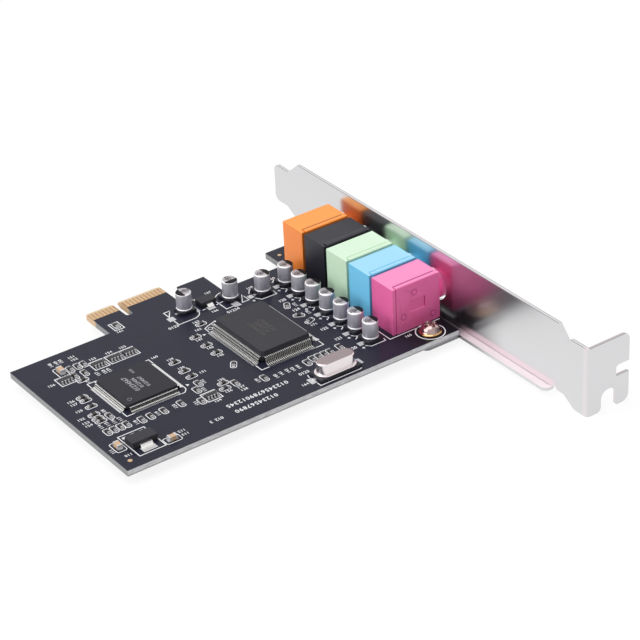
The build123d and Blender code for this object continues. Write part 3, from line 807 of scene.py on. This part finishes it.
def chip_leads(name, data):
    low, high = node_box(name + "_body")
    leads = bmesh.new()
    pads = bmesh.new()
    lead = gull_profile(data["out"], (low.z + high.z) / 2 + KNEE_RISE)
    pad = rectangle(data["out"] * CHIP_PAD_START, data["out"] + CHIP_PAD_PAST, 0, PAD_T)
    centre = Vector(((low.x + high.x) / 2, (low.y + high.y) / 2, 0))
    for turn, count, across in ((0, data["ny"], high.x - low.x), (90, data["nx"], high.y - low.y)):
        for side in (turn, turn + 180):
            swing = Matrix.Translation(centre) @ Matrix.Rotation(radians(side), 4, "Z")
            for i in range(count):
                along = (i - (count - 1) / 2) * data["pitch"]
                place = swing @ Matrix.Translation((across / 2, along, 0))
                add_prism(leads, lead, data["lead"], place)
                add_prism(pads, pad, data["lead"] * CHIP_PAD_WIDER, place)
    piece(name + "_gull_leads", leads, name + "_tin", replaces=(name + "_leads",))
    piece(name + "_pads", pads, "solder")


def chip_marks():
    """Figures and a corner ring on each chip, and a painted highlight along the east top edge of the
    audio chip.
    """
    for chip, data in CHIPS.items():
        softened(chip + "_body", chip + "_moulding", data["finish"], 0.06)
    low, high = node_box("bridge_chip_body")
    marks = bmesh.new()
    for k, (text, height) in enumerate(BRIDGE_ROWS):
        add_figures(marks, text, low.x + 5.6 + ROW_PITCH * k, 27.0 - 0.4 * k, height, 90, high.z)
    add_figures(marks, "0123", low.x + 8.7, 31.6, 0.7, 90, high.z)
    add_line(marks, circle(low.x + 2.0, low.y + 2.0, 0.5, 20), THIN_LINE, True, high.z)
    piece("bridge_chip_figures", marks, "grey_ink")
    low, high = node_box("audio_chip_body")
    faint = bmesh.new()
    for k, text in enumerate(AUDIO_ROWS):
        add_figures(faint, text, low.x + 5.2 + ROW_PITCH * k, 26.5, 1.2, 90, high.z)
    add_line(faint, circle(low.x + 2.2, high.y - 2.2, 0.6, 20), THIN_LINE, True, high.z)
    # Painted highlight: a pale line along the audio chip's east top edge
    painted_highlight = bmesh.new()
    edge = high.x - 0.42
    add_line(painted_highlight, [(edge, low.y + 1.2), (edge, high.y - 3.5)], 0.13, low=high.z)
    piece("audio_chip_painted_highlight_edge", painted_highlight, "grey_ink")
    piece("audio_chip_figures", faint, "faint_ink")


# Electrolytic capacitors

SEGMENT_TURNS = [0] * 8 + [270, 180]
CAP_FIGURES = ("10", "100", "16")
CAP_FIGURE_H = 0.86
CAP_ROW_PITCH = 0.78
# The can: its rolled foot and crimp, how far the wall lies in, and its shoulder
CRIMP = 0.12
WALL_IN = 0.03
SHOULDER_R = 0.3
# The black segment: where its chord lies, and how it follows the shoulder
CHORD_SHARE = 0.3
ARC_STEPS = 20
DROP_STEPS = 3
DROP_TURN = 18


def can_profile(low, high, radius):
    """Outline of a drawn can: rolled foot, a thin crimp over it, straight wall and rounded shoulder."""
    points = [(0, low), (radius - CRIMP, low), (radius, low + CRIMP), (radius, low + 0.3)]
    points += [(radius - CRIMP, low + 0.42), (radius - 0.06, low + 0.56), (radius - WALL_IN, high - 0.34)]
    centre = radius - WALL_IN - SHOULDER_R
    for step in range(1, 5):
        turn = radians(90 * step / 4)
        rise = SHOULDER_R * sin(turn)
        points.append((centre + SHOULDER_R * cos(turn), high - SHOULDER_R + rise))
    return points + [(0, high)]


def add_segment(bm, x, y, radius, turn, low):
    """The black part of a can's printed top, on the side of the turn."""
    reach = degrees(acos(CHORD_SHARE))
    start, end = turn - reach, turn + reach
    top = low + INK / 2
    rings = [circle(x, y, radius, ARC_STEPS, start, end)]
    heights = [top]
    add_plate(bm, rings[0], low, top)
    for step in range(1, DROP_STEPS + 1):
        drop = radians(DROP_TURN * step)
        out = radius + (SHOULDER_R + INK) * sin(drop)
        rings.append(circle(x, y, out, ARC_STEPS, start, end))
        heights.append(top - SHOULDER_R * (1 - cos(drop)))
    for k in range(DROP_STEPS):
        for i in range(ARC_STEPS):
            corners = [(rings[k][i], heights[k]), (rings[k][i + 1], heights[k])]
            corners += [(rings[k + 1][i + 1], heights[k + 1]), (rings[k + 1][i], heights[k + 1])]
            bm.faces.new([bm.verts.new((*spot, height)) for spot, height in corners])


def capacitors():
    black = bmesh.new()
    marks = bmesh.new()
    for n, turn in enumerate(SEGMENT_TURNS, start=1):
        low, high = node_box(f"capacitor_can_{n}")
        x, y = (low.x + high.x) / 2, (low.y + high.y) / 2
        radius = (high.x - low.x) / 2
        top = high.z - INK
        can = bmesh.new()
        add_lathe(can, can_profile(low.z, top, radius), Matrix.Translation((x, y, 0)))
        piece(f"can_{n}", can, "can_aluminium", replaces=(f"capacitor_can_{n}",))
        softened(f"capacitor_base_{n}", f"can_base_{n}", "black_plastic", 0.08)
        add_segment(black, x, y, radius - 0.34, turn, top)
        swing = radians(turn)
        for k, text in enumerate(CAP_FIGURES):
            back = 0.22 - CAP_ROW_PITCH * k
            across, along = back * cos(swing), back * sin(swing)
            add_figures(marks, text, x + across, y + along, CAP_FIGURE_H, turn - 90, top)
    piece("can_segments", black, "black_ink")
    piece("can_figures", marks, "brown_ink")
    softened("capacitor_leads", "can_leads", "tin", 0.02, 1)


# Jacks, numbered from the south

JACK_COLOURS = ("pink", "light_blue", "light_green", "black", "orange")
# How far back from the jack's front, and how high, the three pegs show in each side cover
PEGS = ((7.55, 9.6), (10.75, 4.0), (2.1, 1.9))
COVER_TO_FRONT = 0.9
PEG_R = 0.62
PEG_GROOVE = 0.84
PEG_PROFILE = [(0, -0.1), (PEG_R, -0.1), (PEG_R, 0.01), (0.56, 0.02)]
PEG_PROFILE += [(0.3, 0.02), (0.2, -0.05), (0, -0.05)]
GROOVE_OUT = 0.008
# Seam lines of painted shade: how thick they are, how wide on the top and on the west side
SEAM_T = 0.1
SEAM_W = 0.46
WEST_SEAM_W = 0.24
# How far a cover stands out of its housing
WALL_STEP = 0.12
# The cover's sunk panel: distance back from the front, length, foot and height
PANEL = (4.35, 4.4, 4.6, 2.9)
PANEL_SEAM_DEEP = 0.2


def peg_places(cover, out=0.0):
    """Where the round pegs lie over the dimples of a cover, turned to face south."""
    low, high = node_box(cover)
    for back, height in PEGS:
        middle = (high.x + COVER_TO_FRONT - back, low.y - out, height)
        yield Matrix.Translation(middle) @ Matrix.Rotation(pi / 2, 4, "X")


def add_seams(bm, cover):
    """A cover's dark lines of painted shade: behind its top edge, down its west side, in its panel, round
    its pegs.
    """
    low, high = node_box(cover)
    face = low.y
    roof = high.z - WALL_STEP
    deep = PANEL_SEAM_DEEP
    top = ((low.x + high.x) / 2, high.y + SEAM_W / 2, high.z - 0.08)
    add_block(bm, top, (high.x - low.x, SEAM_W, SEAM_T))
    west = (low.x - WEST_SEAM_W / 2, face + WALL_STEP + 0.04, roof / 2)
    add_block(bm, west, (WEST_SEAM_W, SEAM_T, roof - 0.2))
    back, length, foot, height = PANEL
    east = high.x + COVER_TO_FRONT - back
    add_block(bm, (east - length / 2, face + deep, foot + height - 0.04), (length, deep, SEAM_T))
    add_block(bm, (east - 0.04, face + deep, foot + height / 2), (SEAM_T, deep, height))
    for place in peg_places(cover, GROOVE_OUT):
        rings = []
        for radius in (PEG_R, PEG_GROOVE):
            rings.append([bm.verts.new(place @ Vector((*spot, 0))) for spot in circle(0, 0, radius)])
        join_rings(bm, rings)


def jacks():
    for n, colour in enumerate(JACK_COLOURS, start=1):
        finish = colour + "_plastic"
        cover = f"jack_cover_{n}"
        softened(f"jack_housing_{n}", f"jack_{n}_body", finish, 0.12)
        softened(cover, f"jack_{n}_side", finish, 0.1)
        softened(f"jack_contacts_{n}", f"jack_{n}_springs", "spring_brass", 0.03, 1)
        pegs = bmesh.new()
        for place in peg_places(cover):
            add_lathe(pegs, PEG_PROFILE, place, 24)
        piece(f"jack_{n}_pegs", pegs, finish)
        # Seam lines and peg rings in darker plastic: painted shade in the cover's seams and grooves
        seams = bmesh.new()
        add_seams(seams, cover)
        piece(f"jack_{n}_seams", seams, colour + "_seam")


# Screws, bracket and the rest of the hardware

SCREWS = ((-7.9, 3.55), (-7.9, 55.6))
SCREW_STEPS = 96
TAIL_R = 1.15
THREAD_PITCH = 0.35
THREAD_CREST = 1.42
THREAD_ROOT = 1.22
HEAD_RIM = [(2.75, 0.02), (2.75, 0.28), (2.62, 0.42), (2.42, 0.48)]
DOME_R = 2.4
DOME_RINGS = 24
DOME_FOOT = 0.5
DOME_RISE = 1.75
DOME_POWER = 2.6
ARM_HALF = 0.42
ARM_REACH = 1.6
RECESS_FOOT = 0.85
RECESS_SLOPE = 0.4


def smooth(value, low, high):
    share = min(max((value - low) / (high - low), 0.0), 1.0)
    return share * share * (3 - 2 * share)


def dome_height(x, y):
    """Height of a screw head's crown, with the cross recess sunk into it."""
    radius = hypot(x, y)
    crown = DOME_FOOT + DOME_RISE * sqrt(max(0.0, 1 - (radius / DOME_R) ** DOME_POWER))
    arm = 1 - smooth(min(abs(x), abs(y)), ARM_HALF - 0.14, ARM_HALF + 0.06)
    inside = arm * (1 - smooth(radius, ARM_REACH - 0.25, ARM_REACH))
    floor_height = RECESS_FOOT + RECESS_SLOPE * radius
    return crown + (min(floor_height, crown) - crown) * inside


def add_screw(bm, x, y):
    """A pan-head screw: golden rim, domed crown with a cross recess, and a ridged shank."""
    tail = node_box("mounting_screws")[0].z
    place = Matrix.Translation((x, y, 0))
    profile = [(TAIL_R, tail)]
    for k in range(int(-tail / THREAD_PITCH)):
        z = tail + 0.1 + THREAD_PITCH * k
        profile += [(THREAD_CREST, z + 0.1), (THREAD_ROOT, z + 0.27)]
    profile += [(1.3, 0.0), (2.7, 0.0), *HEAD_RIM]
    foot = bm.verts.new(place @ Vector((0, 0, tail)))
    rings = []
    for radius, z in profile:
        ring = circle(0, 0, radius, SCREW_STEPS)
        rings.append([bm.verts.new(place @ Vector((u, v, z))) for u, v in ring])
    for k in range(DOME_RINGS):
        ring = circle(0, 0, DOME_R - DOME_R * k / DOME_RINGS, SCREW_STEPS)
        rings.append([bm.verts.new(place @ Vector((u, v, dome_height(u, v)))) for u, v in ring])
    close_rings(bm, foot, rings, bm.verts.new(place @ Vector((0, 0, dome_height(0, 0)))))


# Pieces that only get soft edges: node, name, finish, width of the edge, and segments if not 2
SOFT_EDGED = (
    ("bracket", "slot_bracket", "polished_steel", 0.07),
    ("solder_joints", "pin_solder", "solder", 0.12),
    ("crystal_can", "crystal_cap", "nickel", 0.08),
    ("crystal_base", "crystal_seat", "black_plastic", 0.05),
    ("crystal_leads", "crystal_feet", "tin", 0.03, 1),
    ("regulator_body", "regulator_case", "black_resin", 0.1, 1),
    ("regulator_leads", "regulator_feet", "tin", 0.04, 1),
    ("power_transistor_body", "power_transistor_case", "black_resin", 0.1, 1),
    ("power_transistor_leads", "power_transistor_feet", "tin", 0.04, 1),
)
# The crease's centre along Y, and its width, length and height
CREASE_Y = -13.6
CREASE_SIZE = (0.16, 32.0, 0.024)


def hardware():
    screws = bmesh.new()
    for x, y in SCREWS:
        add_screw(screws, x, y)
    piece(
        "board_screws", screws, "screw_steel", replaces=("mounting_screws",), crease=40
    )
    for row in SOFT_EDGED:
        softened(*row)


def lip_crease():
    """The thin dark line of painted shade in the corner between the bracket's plate and its lip."""
    crease = bmesh.new()
    width, length, height = CREASE_SIZE
    add_block(crease, (-width / 2, CREASE_Y, BOARD_FOOT + height / 2), CREASE_SIZE)
    piece("lip_crease", crease, "painted_shade_steel")


def plain_nodes():
    for node, finish in (("circuit_board", "solder_mask"), ("edge_contacts", "gold_plate")):
        shown = NODES[node]
        shown.data.materials.clear()
        shown.data.materials.append(MATERIALS[finish])


# Printed outlines on the board

CAP_ROW = [(-20.7, 9.75 + 5.7 * k) for k in range(7)]
# Open outlines round the chips, the hardware and the cans apart from the row
OUTLINES = (
    [(-82.4, 20.2), (-82.4, 18.2), (-80.4, 18.2)],
    [(-67.8, 18.2), (-66.8, 18.3), (-65.9, 19.3), (-65.8, 20.4)],
    [(-82.4, 33.4), (-82.4, 35.4), (-80.2, 35.4)],
    [(-67.2, 35.4), (-65.8, 35.4), (-65.8, 33.4)],
    [(-48.0, 17.4), (-48.0, 14.9), (-45.9, 14.9)],
    [(-32.7, 14.9), (-30.5, 14.9), (-30.5, 17.0)],
    [(-48.0, 36.8), (-48.0, 38.6), (-46.8, 39.2), (-44.0, 40.1)],
    [(-30.5, 37.5), (-30.5, 39.8), (-32.6, 39.8)],
    [(-2.6, 6.8), (-17.2, 6.8), (-17.2, 12.5)],
    [(-81.7, 6.6), (-81.7, 3.0), (-88.5, 3.0), (-88.5, 12.3), (-81.7, 12.3), (-81.7, 11.1)],
    [(-41.4, 2.3), (-41.4, 0.9), (-30.1, 0.9), (-29.7, 1.3)],
    [(-29.2, 2.7), (-29.2, 5.0)],
    [(-41.5, 5.2), (-41.2, 6.4)],
    [(-43.7, 46.1), (-42.8, 46.1)],
    [(-39.7, 46.1), (-37.6, 46.4)],
    [(-44.4, 49.8), (-43.9, 50.6)],
    [(-30.7, 45.4), (-29.6, 46.9), (-25.4, 46.9)],
    [(-30.7, 42.7), (-29.7, 41.2), (-25.5, 41.1), (-25.3, 42.9)],
    [(-36.9, 42.9), (-38.9, 42.9), (-38.9, 46.6)] + circle(-35.4, 46.8, 3.5, 10, 175, 95),
    [(-32.3, 45.4), (-32.3, 43.0), (-34.2, 43.0), (-32.3, 46.2)],
    [(-49.9, 50.9), (-51.7, 50.9), (-51.7, 44.1), (-47.4, 44.1)] + circle(-47.4, 46.9, 2.8, 8, -85, -5),
    [(-51.6, 48.6), (-50.3, 50.4)],
    [(-64.4, 51.9), (-62.9, 54.3)],
)
ARROWS = (
    [(-49.9, 36.0), (-49.1, 36.4), (-49.9, 36.8)],
    [(-65.0, 20.0), (-64.2, 20.5), (-65.0, 21.0)],
    [(-31.1, 17.3), (-29.9, 17.3), (-30.5, 19.3)],
)
SCREW_RING_R = 3.5
PLUS_H = 1.2


def add_part_outlines(bm):
    for node, parts in SMALL.items():
        margin, side = (1.9, 1.2) if node == LARGE else (1.15, 0.6)
        for centre, length, width, height, turn in parts:
            add_line(bm, oval(centre.x, centre.y, length + margin, width + side, turn), 0.2, True)
    for centre, length, width, height, turn in ARRAYS:
        x, y = centre.x, centre.y
        add_line(bm, rectangle(x - 1.9, x + 1.9, y - 1.95, y + 1.75), LINE, True)
        add_line(bm, [(x - 1.8, y - 0.1), (x + 1.8, y - 0.1)], 0.12)


def add_outlines(bm):
    for points in OUTLINES:
        add_line(bm, points)
    for points in ARROWS:
        add_plate(bm, points, 0, INK)
    for x, y in SCREWS:
        add_line(bm, circle(x, y, SCREW_RING_R, 48), LINE, True)
    add_line(bm, circle(-46.9, 37.9, 0.55, 20), 0.15, True)
    add_line(bm, rectangle(-64.9, -62.4, 51.4, 54.8), LINE, True)


def add_can_outlines(bm):
    for x, y in CAP_ROW:
        add_line(bm, [(x - 2.7, y + 2.2), (x - 2.0, y + 2.6), (x - 1.5, y + 3.2), (x + 2.3, y + 3.2)])
        add_line(bm, [(x - 2.6, y - 1.5), (x - 1.6, y - 2.6), (x + 2.4, y - 2.6), (x + 2.6, y - 1.6)])
        add_figures(bm, "+", x - 3.5, y - 2.1, PLUS_H)
    add_figures(bm, "+", -31.6, 41.8, PLUS_H)


# Reference figures beside the parts: place and turn in degrees
LABELS = [
    (-90.2, 5.0, 180), (-92.3, 8.3, 90), (-76.0, 5.6, 180), (-76.0, 4.1, 180), (-89.1, 18.3, 90),
    (-87.4, 18.3, 90), (-85.7, 18.3, 90), (-84.1, 18.3, 90), (-82.0, 14.8, 90), (-76.3, 14.8, 90),
    (-71.7, 14.8, 90), (-67.3, 12.8, 90), (-91.1, 23.6, 0), (-91.0, 21.7, 0), (-91.0, 20.4, 0),
    (-89.7, 26.8, 0), (-89.2, 31.3, 0), (-89.2, 29.9, 0), (-85.3, 23.2, 90), (-61.9, 32.2, 0),
    (-61.9, 27.5, 0), (-58.9, 23.0, 0), (-61.1, 19.4, 90), (-62.8, 16.5, 90), (-63.0, 10.6, 0),
    (-57.6, 17.4, 0), (-58.9, 12.3, 0), (-55.7, 12.0, 0), (-55.7, 10.7, 0), (-51.2, 11.8, 90),
    (-46.9, 10.6, 90), (-45.3, 10.9, 90), (-43.6, 10.8, 90), (-42.2, 10.6, 90), (-40.7, 10.6, 90),
    (-51.8, 26.3, 0), (-51.8, 30.6, 0), (-51.8, 35.2, 0), (-84.7, 47.9, 90), (-83.2, 47.9, 90),
    (-82.0, 47.9, 90), (-79.2, 47.9, 0), (-79.2, 46.6, 0), (-75.8, 44.0, 0), (-71.4, 44.0, 0),
    (-67.6, 44.0, 0), (-89.1, 40.1, 0), (-78.1, 37.7, 90), (-76.4, 37.5, 90), (-75.2, 37.5, 90),
    (-64.2, 35.4, 0), (-64.2, 50.5, 0), (-49.5, 39.2, 0), (-48.0, 42.5, 0), (-43.9, 3.5, 0),
    (-13.0, 5.3, 0), (-41.6, 43.9, 0), (-38.2, 52.2, 0), (-29.0, 47.6, 0), (-22.4, 47.7, 0),
    (-24.6, 29.2, 90), (-27.0, 23.6, 0), (-25.0, 34.0, 90), (-81.6, 36.5, 90),
]
FIRST_LABEL = 110
FIRST_ROW_LABEL = 120
# Longer rows of figures: text, place, turn, height and pace
LONG_LABELS = [
    ("0123", -53.3, 43.9, 0, 1.05, 0.68),
    ("01234", -38.0, 41.3, 0, 1.05, 0.68),
    ("0123", -41.2, 7.7, 0, 1.05, 0.68),
    ("012 3", -67.6, 4.3, 180, 1.05, 0.68),
    ("0123456789012345", -54.6, 7.2, 180, 1.35, 0.78),
    ("01234567890", -56.8, 4.3, 180, 1.35, 0.78),
]


def add_labels(bm):
    for n, (x, y, turn) in enumerate(LABELS, start=FIRST_LABEL):
        add_figures(bm, str(n), x, y, 0.88, turn, pace=0.74)
    for n, (x, y) in enumerate(CAP_ROW, start=FIRST_ROW_LABEL):
        add_figures(bm, str(n), x - 5.6, y - 0.7, 1.05)
    for text, x, y, turn, height, pace in LONG_LABELS:
        add_figures(bm, text, x, y, height, turn, pace=pace)


def board_printing():
    ink = bmesh.new()
    add_part_outlines(ink)
    add_outlines(ink)
    add_can_outlines(ink)
    add_labels(ink)
    piece("board_printing", ink, "white_ink", crease=60)


# Bare pads on the board: x, y, and size along X and Y
PADS = [(-41.9, 3.7, 1.5, 2.4), (-28.6, 3.7, 1.2, 2.2), (-51.8, 47.3, 1.8, 1.8), (-44.7, 47.5, 1.0, 2.6)]
PADS += [(-35.9, 43.2, 1.9, 2.0), (-31.2, 43.9, 1.4, 1.5), (-41.4, 45.8, 2.0, 1.6)]
PADS += [(-85.15, 4.6, 3.6, 2.0)]
PADS += [(x - 3.1, y - 0.2, 1.3, 1.5) for x, y in CAP_ROW]
PADS += [(-85.15 + 2.3 * k, 11.2, 1.1, 0.8) for k in (-1, 0, 1)]
# Gold dots: x, y and radius
DOTS = ((-91.1, 2.9, 0.55), (-14.1, 56.2, 0.5))


def board_pads():
    metal_pads = bmesh.new()
    for x, y, width, depth in PADS:
        add_block(metal_pads, (x, y, PAD_T / 2), (width, depth, PAD_T))
    piece("board_pads", metal_pads, "pad_tin")
    dots = bmesh.new()
    for x, y, radius in DOTS:
        add_plate(dots, circle(x, y, radius, 24), 0, PAD_T)
    piece("fiducial_dots", dots, "gold_plate")


# Camera, floor and light

VIEW_AZIMUTH = -33.425
VIEW_ELEVATION = 30.476
VIEW_ROLL = -3.322
VIEW_PLACE = (-297.782, -373.693, 289.707)
FOCAL_PIXELS = 2379.06
MIDDLE_PIXEL = (282.28, 301.49)
PICTURE = 640
SENSOR = 36.0
# The floor and the sky: how bright they are to light the object, and how they are seen
FLOOR_LIT = 0.88
FLOOR_SEEN = 0.17
FLOOR_GLOW = 0.86
SKY_LIGHT = 0.42
SKY_SEEN_MORE = 0.58


def camera():
    azimuth, elevation, roll = (radians(v) for v in (VIEW_AZIMUTH, VIEW_ELEVATION, VIEW_ROLL))
    flat = cos(elevation)
    back = Vector((sin(azimuth) * flat, -cos(azimuth) * flat, sin(elevation)))
    level = (-back).cross(Vector((0, 0, 1))).normalized()
    over = level.cross(-back)
    right = level * cos(roll) + over * sin(roll)
    up = over * cos(roll) - level * sin(roll)
    lens = bpy.data.cameras.new("camera")
    lens.sensor_width = SENSOR
    lens.lens = FOCAL_PIXELS / PICTURE * SENSOR
    lens.shift_x = (PICTURE / 2 - MIDDLE_PIXEL[0]) / PICTURE
    lens.shift_y = (MIDDLE_PIXEL[1] - PICTURE / 2) / PICTURE
    lens.clip_start = 0.01
    lens.clip_end = 20
    eye = show("camera", lens)
    turn = Matrix((right, up, back)).transposed().to_4x4()
    eye.matrix_world = Matrix.Translation(TO_FRAME @ Vector(VIEW_PLACE)) @ turn
    bpy.context.scene.camera = eye


def seen_directly(tree):
    """1 for camera, glossy and transmission rays, 0 for the rays that light the object."""
    path = add_node(tree, "LightPath")
    first = maths(tree, "MAXIMUM", path.outputs["Is Camera Ray"], path.outputs["Is Glossy Ray"])
    return maths(tree, "MAXIMUM", first, path.outputs["Is Transmission Ray"])


def floor():
    bm = bmesh.new()
    bmesh.ops.create_grid(bm, x_segments=1, y_segments=1, size=3.0)
    mesh = bpy.data.meshes.new("floor")
    bm.to_mesh(mesh)
    bm.free()
    ground = show("floor", mesh)
    ground.location.z = FLOOR_Z
    material = bpy.data.materials.new("floor_white")
    material.use_nodes = True
    tree = material.node_tree
    shader = tree.nodes["Principled BSDF"]
    seen = seen_directly(tree)
    pale = blend_colours(tree, seen, (*[FLOOR_LIT] * 3, 1), (*[FLOOR_SEEN] * 3, 1))
    tree.links.new(pale, shader.inputs["Base Color"])
    shader.inputs["Roughness"].default_value = 1.0
    shader.inputs["Specular IOR Level"].default_value = 0.0
    shader.inputs["Emission Color"].default_value = (1, 1, 1, 1)
    tree.links.new(maths(tree, "MULTIPLY", seen, FLOOR_GLOW), shader.inputs["Emission Strength"])
    mesh.materials.append(material)


def world():
    sky = bpy.data.worlds.new("studio")
    bpy.context.scene.world = sky
    sky.use_nodes = True
    tree = sky.node_tree
    backdrop = tree.nodes["Background"]
    backdrop.inputs["Color"].default_value = (1, 1, 1, 1)
    strength = maths(tree, "MULTIPLY", seen_directly(tree), SKY_SEEN_MORE)
    tree.links.new(maths(tree, "ADD", strength, SKY_LIGHT), backdrop.inputs["Strength"])


def soft_box(name, place, aim, size, power):
    lamp = bpy.data.lights.new(name, "AREA")
    lamp.shape = "RECTANGLE"
    lamp.size, lamp.size_y = size
    lamp.energy = power
    holder = show(name, lamp)
    holder.location = place
    holder.rotation_euler = (Vector(aim) - Vector(place)).to_track_quat("-Z", "Y").to_euler()


def studio():
    world()
    floor()
    soft_box("top_box", (-0.15, 0.1, 0.8), (0, 0, 0), (0.8, 0.8), 3.8)
    soft_box("west_box", (-0.8, 0.1, 0.4), (0, 0, 0.01), (0.7, 0.7), 3.6)
    bpy.context.scene.view_settings.view_transform = "Standard"


camera()
studio()
plain_nodes()
hardware()
lip_crease()
jacks()
capacitors()
dress_small_parts()
for chip, data in CHIPS.items():
    chip_leads(chip, data)
chip_marks()
board_printing()
board_pads()
